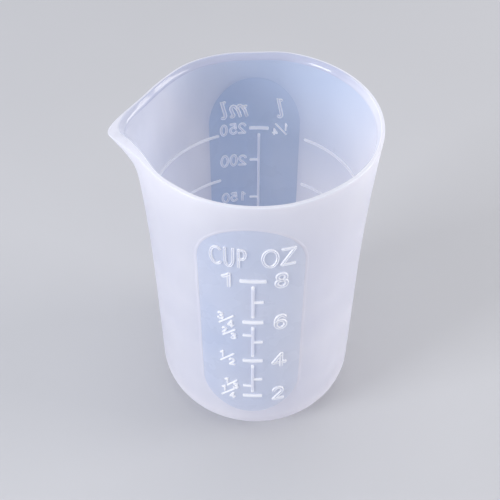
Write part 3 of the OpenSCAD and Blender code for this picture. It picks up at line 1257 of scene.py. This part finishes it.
class Materials:
    """The finishes of the cup, made from shared groups of nodes."""

    IOR = 1.41
    BUMP = 0.6
    SHEEN_ROUGH = 0.4
    BROAD_SCALE = 90.0
    STREAK_SCALE = 160.0
    STREAK_DRAW = (1.0, 1.0, 0.18)
    STREAK_SHARE = 0.35
    CLOUD_SCALE = 38.0
    CLOUD_RANGE = (0.45, 0.9)
    ROUGH_RANGE = (0.3, 0.7)

    def __init__(self) -> None:
        """Build the shared groups."""
        self.grain = self.grain_group()
        self.mottle = self.mottle_group()

    @staticmethod
    def group(name: str, inputs: dict[str, float | tuple],
              outputs: Sequence[tuple[str, str]]) -> tuple[bpy.types.NodeTree, NodeTree]:
        """Start a shader node group.

        Args:
            name: Name of the group.
            inputs: Names and defaults of its inputs.
            outputs: Names and socket types of its outputs.

        Returns:
            The group and its editor.
        """
        made = bpy.data.node_groups.new(name, "ShaderNodeTree")
        for key, value in inputs.items():
            kind = "NodeSocketColor" if isinstance(value, tuple) else "NodeSocketFloat"
            made.interface.new_socket(key, in_out="INPUT", socket_type=kind).default_value = value
        for key, kind in outputs:
            made.interface.new_socket(key, in_out="OUTPUT", socket_type=kind)
        return made, NodeTree(made)

    def grain_group(self) -> bpy.types.NodeTree:
        """Build the fine grain that a blasted mould leaves, as a height and a mask."""
        made, tree = self.group("frost_grain", {"Size": 0.4},
                                (("Height", "NodeSocketFloat"), ("Mask", "NodeSocketFloat")))
        given = tree.add("NodeGroupInput")
        place = tree.add("ShaderNodeTexCoord")
        scale = tree.add("ShaderNodeMath", {"operation": "DIVIDE"}, {0: 1 / MM, 1: given.outputs["Size"]})
        fine = tree.add("ShaderNodeTexNoise", Vector=place.outputs["Object"], Scale=scale.outputs[0],
                        Detail=2.0, Roughness=0.55)
        broad = tree.add("ShaderNodeTexNoise", Vector=place.outputs["Object"], Scale=self.BROAD_SCALE,
                         Detail=3.0, Roughness=0.5)
        tree.add("NodeGroupOutput", Height=fine.outputs["Fac"], Mask=broad.outputs["Fac"])
        return made

    def mottle_group(self) -> bpy.types.NodeTree:
        """Build the soft cloudy colour of the silicone, with faint upright streaks."""
        made, tree = self.group("soft_mottle", {"Base": (1.0, 1.0, 1.0, 1.0), "Tint": (1.0, 1.0, 1.0, 1.0)},
                                (("Color", "NodeSocketColor"),))
        given = tree.add("NodeGroupInput")
        place = tree.add("ShaderNodeTexCoord")
        drawn = tree.add("ShaderNodeMapping", Vector=place.outputs["Object"], Scale=self.STREAK_DRAW)
        streak = tree.add("ShaderNodeTexNoise", Vector=drawn.outputs[0], Scale=self.STREAK_SCALE,
                          Detail=2.0, Roughness=0.5)
        cloud = tree.add("ShaderNodeTexNoise", Vector=place.outputs["Object"], Scale=self.CLOUD_SCALE,
                         Detail=3.0, Roughness=0.5)
        both = tree.add("ShaderNodeMath", {"operation": "MULTIPLY_ADD"},
                        {0: streak.outputs["Fac"], 1: self.STREAK_SHARE, 2: cloud.outputs["Fac"]})
        start, end = self.CLOUD_RANGE
        spread = tree.add("ShaderNodeMapRange", Value=both.outputs[0], From_Min=start, From_Max=end)
        color = tree.blend(spread.outputs["Result"], given.outputs["Base"], given.outputs["Tint"])
        tree.add("NodeGroupOutput", Color=color)
        return made

    @staticmethod
    def faded(tree: NodeTree, near: bpy.types.NodeSocket, fade: Fade) -> bpy.types.NodeSocket:
        """Let a colour pass into a finish's second one, which paints light or shade along a direction.

        Args:
            tree: The material's editor.
            near: The first colour.
            fade: The second colour with its direction and range.

        Returns:
            The mixed colour.
        """
        place = tree.add("ShaderNodeTexCoord")
        along = tree.add("ShaderNodeVectorMath", {"operation": "DOT_PRODUCT"},
                         {0: place.outputs["Object"], 1: fade.way})
        share = tree.add("ShaderNodeMapRange", Value=along.outputs["Value"], From_Min=fade.start,
                         From_Max=fade.end)
        return tree.blend(share.outputs["Result"], near, fade.color)

    def silicone(self, finish: Finish) -> bpy.types.Material:
        """Make the material of one finish.

        Args:
            finish: The finish.

        Returns:
            The material.
        """
        made = bpy.data.materials.new(finish.name)
        made.use_nodes = True
        tree = NodeTree(made.node_tree)
        mottle = tree.add("ShaderNodeGroup", {"node_tree": self.mottle}, Base=finish.base, Tint=finish.tint)
        grain = tree.add("ShaderNodeGroup", {"node_tree": self.grain}, Size=finish.grain)
        bump = tree.add("ShaderNodeBump", Height=grain.outputs["Height"], Strength=self.BUMP,
                        Distance=finish.grain_depth)
        start, end = self.ROUGH_RANGE
        rough = tree.add("ShaderNodeMapRange", Value=grain.outputs["Mask"], From_Min=start, From_Max=end,
                         To_Min=finish.rough - finish.rough_spread, To_Max=finish.rough + finish.rough_spread)
        color = mottle.outputs["Color"]
        if finish.fade:
            color = self.faded(tree, color, finish.fade)
        # The emission is painted light: a glow in the finish's own colour.
        skin = tree.add("ShaderNodeBsdfPrincipled", Base_Color=color, Roughness=rough.outputs["Result"],
                        Normal=bump.outputs["Normal"], Alpha=finish.alpha, IOR=self.IOR,
                        Coat_Weight=finish.coat, Coat_Roughness=finish.coat_rough, Sheen_Weight=finish.sheen,
                        Sheen_Roughness=self.SHEEN_ROUGH,
                        Specular_IOR_Level=finish.specular, Emission_Color=color,
                        Emission_Strength=finish.light_pipe)
        surface = skin.outputs["BSDF"]
        if finish.glow:
            through = tree.add("ShaderNodeBsdfTranslucent", Color=color)
            mix = tree.add("ShaderNodeMixShader", None, {1: surface, 2: through.outputs[0]}, Fac=finish.glow)
            surface = mix.outputs[0]
        tree.add("ShaderNodeOutputMaterial", Surface=surface)
        return made


FROSTED = Finish("frosted_silicone", linear(250, 249, 252), linear(246, 245, 250), rough=0.5, glow=0.6,
                 sheen=0.15)
# The inner face is a darker copy of the frosted silicone, painted shade, and turns darker and bluer still
# high on the back right.
INSIDE = Finish("inner_silicone", linear(234, 236, 244), linear(227, 230, 240), rough=0.36, glow=0.75,
                coat=0.3, coat_rough=0.16,
                fade=Fade(linear(206, 218, 237), (0.34, 0.94, 0.5), 60 * MM, 86 * MM))
# A faint painted glow brightens the lip's land and outer round.
LIP = Finish("polished_silicone", linear(248, 248, 253), linear(244, 245, 252), rough=0.15, rough_spread=0.04,
             grain=0.8, grain_depth=0.000006, glow=0.5, coat=0.5, coat_rough=0.06, light_pipe=0.01)
# The lip's edge and slope darken along this direction, towards the back: painted shade.
LIP_WAY = (-0.26, 0.966, 0.0)
# The lip's inner edge is brighter and glows: a painted highlight, passing into painted shade towards the
# back.
LIP_EDGE = replace(LIP, name="polished_edge", base=linear(250, 250, 253), tint=linear(246, 247, 252),
                   light_pipe=0.06, fade=Fade(linear(203, 208, 227), LIP_WAY, 3 * MM, 18 * MM))
# The polished slope inside the lip is darker than the land and darkens further towards the back: painted
# shade.
INNER_LIP = Finish("polished_inner_silicone", linear(236, 238, 246), linear(230, 233, 243), rough=0.2,
                   rough_spread=0.05, grain=0.8, grain_depth=0.000004, glow=0.5, coat=1.0, coat_rough=0.04,
                   specular=0.3, fade=Fade(linear(204, 208, 226), LIP_WAY, 3 * MM, 18 * MM))
# The window's outer face turns lighter towards +X, the right: painted light.
OUTER_WINDOW = Finish("clear_silicone_outside", linear(234, 237, 248), linear(226, 232, 247), rough=0.28,
                      glow=0.45, alpha=0.85, grain_depth=0.00001,
                      fade=Fade(linear(241, 242, 249), (1.0, 0.0, 0.0), -12 * MM, 14 * MM))
# The window's inner face is darker and bluer than its outer face, and darker still towards the top: painted
# shade.
INNER_WINDOW = Finish("clear_silicone_inside", linear(205, 216, 233), linear(192, 208, 231), rough=0.3,
                      glow=0.4, alpha=0.85, grain_depth=0.00001,
                      fade=Fade(linear(188, 203, 227), (0.0, 0.0, 1.0), 86 * MM, 104 * MM))
JOINT = Finish("joint_face", linear(247, 248, 253), linear(242, 243, 251), glow=0.0, alpha=0.02)
# The marks glow in their own colour: painted light.
MARK = Finish("raised_mark", linear(252, 252, 254), linear(248, 249, 253), rough=0.3, glow=0.4, coat=0.3,
              light_pipe=0.12)
# The groove between a stroke's rims is darker: painted shade.
GROOVE = Finish("mark_groove", linear(240, 242, 250), linear(234, 237, 248), rough=0.35, glow=0.4, alpha=0.85)
# The upright rule is darker and glows less than the bars: painted shade.
RULE = Finish("raised_rule", linear(244, 245, 252), linear(238, 240, 250), rough=0.35, glow=0.4, coat=0.2,
              light_pipe=0.04)
# The rear rule glows, less than the lit marks: painted light and painted shade.
REAR_RULE = replace(RULE, name="raised_rear_rule", base=linear(246, 247, 252), tint=linear(240, 242, 250),
                    light_pipe=0.12)
# A brighter copy of the mark with a stronger glow: painted light.
LIT_MARK = Finish("inner_mark", linear(253, 253, 255), linear(249, 250, 254), rough=0.3, glow=0.45, coat=0.4,
                  light_pipe=0.18)


@dataclass(frozen=True)
class Lamp:
    """One soft square lamp: its place, the side of its square and its power in watts."""

    name: str
    place: Triple
    size: float
    power: float
    color: Triple = (1.0, 1.0, 1.0)


@dataclass(frozen=True)
class Studio:
    """The camera at the photograph's place, the pale floor and the soft lights."""

    place: Triple = (3.775 * MM, -209.99 * MM, 275.56 * MM)
    pitch: float = 45.866
    yaw: float = -1.571
    roll: float = 0.126
    lens: float = 66.29
    sensor: float = 36.0
    clip: float = 0.01
    world_color: Color = (0.95, 0.955, 1.0, 1.0)
    world_strength: float = 0.675
    floor_drop: float = 0.2 * MM
    floor_size: float = 2.0
    floor_tones: tuple[Color, Color] = (linear(196, 197, 201), linear(201, 202, 206))
    aim: Triple = (0.0, 0.0, 0.06)
    lamps: tuple[Lamp, ...] = (
        Lamp("key_softbox", (-0.75, -0.47, 0.33), 0.34, 5.4, (0.95, 0.97, 1.0)),
        Lamp("top_softbox", (0.0, 0.1, 0.9), 0.4, 0.9),
        Lamp("side_softbox", (0.87, 0.0, 0.18), 0.45, 5.4, (1.0, 0.96, 0.9)),
        Lamp("back_softbox", (0.25, 0.8, 0.3), 0.5, 0.4))

    def add_camera(self) -> None:
        """Add the camera, with the photograph's view of the cup."""
        pitch, yaw, roll = (math.radians(a) for a in (self.pitch, self.yaw, self.roll))
        forward = Vector((math.sin(yaw) * math.cos(pitch), math.cos(yaw) * math.cos(pitch), -math.sin(pitch)))
        right = Vector((math.cos(yaw), -math.sin(yaw), 0))
        up = right.cross(forward)
        right, up = right * math.cos(roll) + up * math.sin(roll), up * math.cos(roll) - right * math.sin(roll)
        data = bpy.data.cameras.new("photo_camera")
        data.lens = self.lens
        data.sensor_width = self.sensor
        data.clip_start = self.clip
        camera = linked("photo_camera", data)
        turn = Matrix((right, up, -forward)).transposed().to_4x4()
        camera.matrix_world = Matrix.Translation(self.place) @ turn
        bpy.context.scene.camera = camera

    def add_floor(self) -> None:
        """Add the plain pale floor."""
        bm = bmesh.new()
        bmesh.ops.create_grid(bm, x_segments=8, y_segments=8, size=self.floor_size,
                              matrix=Matrix.Translation((0, 0, -self.floor_drop)))
        mesh = bpy.data.meshes.new("studio_floor")
        bm.to_mesh(mesh)
        bm.free()
        floor = linked("studio_floor", mesh)
        made = bpy.data.materials.new("studio_floor")
        made.use_nodes = True
        tree = NodeTree(made.node_tree)
        place = tree.add("ShaderNodeTexCoord")
        noise = tree.add("ShaderNodeTexNoise", Vector=place.outputs["Object"], Scale=9.0, Detail=2.0)
        color = tree.blend(noise.outputs["Fac"], *self.floor_tones)
        skin = tree.add("ShaderNodeBsdfPrincipled", Base_Color=color, Roughness=0.85, Specular_IOR_Level=0.15)
        tree.add("ShaderNodeOutputMaterial", Surface=skin.outputs[0])
        mesh.materials.append(made)

    def add_lamp(self, lamp: Lamp) -> None:
        """Add a soft square lamp that points at the cup.

        Args:
            lamp: The lamp.
        """
        data = bpy.data.lights.new(lamp.name, "AREA")
        data.size = lamp.size
        data.energy = lamp.power
        data.color = lamp.color
        stand = linked(lamp.name, data)
        stand.location = lamp.place
        stand.rotation_euler = (Vector(self.aim) - Vector(lamp.place)).to_track_quat("-Z", "Y").to_euler()

    def add_light(self) -> None:
        """Add the world's even light and the soft lamps."""
        world = bpy.data.worlds.new("studio_world")
        world.use_nodes = True
        tree = NodeTree(world.node_tree)
        glow = tree.add("ShaderNodeBackground", Color=self.world_color, Strength=self.world_strength)
        tree.add("ShaderNodeOutputWorld", Surface=glow.outputs[0])
        bpy.context.scene.world = world
        for lamp in self.lamps:
            self.add_lamp(lamp)


def main() -> None:
    """Build the studio and every piece of the cup, in order."""
    logging.basicConfig(level=logging.INFO, format="%(name)s %(message)s")
    bpy.context.scene.view_settings.view_transform = "Standard"
    studio = Studio()
    studio.add_camera()
    studio.add_floor()
    studio.add_light()

    form = CupForm(height=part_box("rim_lip")[1].z)
    stations = WallStations(form)
    materials = Materials()
    frosted, inside, joint = (materials.silicone(f) for f in (FROSTED, INSIDE, JOINT))
    lip, edge, inner_lip = (materials.silicone(f) for f in (LIP, LIP_EDGE, INNER_LIP))
    window_out, window_in = (materials.silicone(f) for f in (OUTER_WINDOW, INNER_WINDOW))
    mark, groove, rule = (materials.silicone(f) for f in (MARK, GROOVE, RULE))
    rear_rule, lit = (materials.silicone(f) for f in (REAR_RULE, LIT_MARK))

    body = CupBody(form, stations)
    windows = {side: Window(stations, side) for side in Side}
    Mould.dress(body.build_base(), "frosted_silicone", ["cup_base"], frosted, joint)
    Mould.dress(body.build_wall(list(windows.values())), "frosted_silicone", ["cup_wall"],
                frosted, inside, joint)
    Mould.dress(body.build_spout(), "frosted_silicone", ["pouring_spout"], frosted, inside, joint)
    Mould.dress(body.build_lip(), "glossy_silicone", ["rim_lip"], lip, frosted, joint, inner_lip, inside,
                edge)
    Mould.dress(windows[Side.FRONT].build("clear_front_window"), "clear_silicone", ["front_window"],
                window_out, window_in, joint)
    Mould.dress(windows[Side.REAR].build("clear_rear_window"), "clear_silicone", ["rear_window"],
                window_out, window_in, joint)
    for side, window in windows.items():
        bead = window.build_bead(f"{side.name.lower()}_window_bead")
        Mould.dress(bead, "frosted_silicone", [], frosted)

    scales = ScaleMarks(form)
    Mould.dress(scales.build_scale(Side.FRONT, "raised_oz_scale"), "raised_marks", ["cup_oz_scale"],
                mark, groove, rule)
    # The rear marks take the lit finish, whose stronger glow is painted light.
    Mould.dress(scales.build_scale(Side.REAR, "raised_ml_scale"), "raised_marks", ["ml_scale"], lit, groove,
                rear_rule)
    Mould.dress(scales.build_lettering(Side.FRONT, "oz_lettering"), "raised_marks", [], mark, groove)
    Mould.dress(scales.build_lettering(Side.REAR, "ml_lettering"), "raised_marks", [], lit, groove)
    # The right lines take the lit finish and the left ones the mark finish: a stronger painted glow on the
    # right.
    lines = LevelLines(form)
    Mould.dress(lines.build(lines.left_ends, "left_inner_lines"), "raised_marks", ["left_level_lines"],
                mark)
    Mould.dress(lines.build(lines.right_ends, "right_inner_lines"), "raised_marks", ["right_level_lines"],
                lit)


if __name__ == "__main__":
    main()
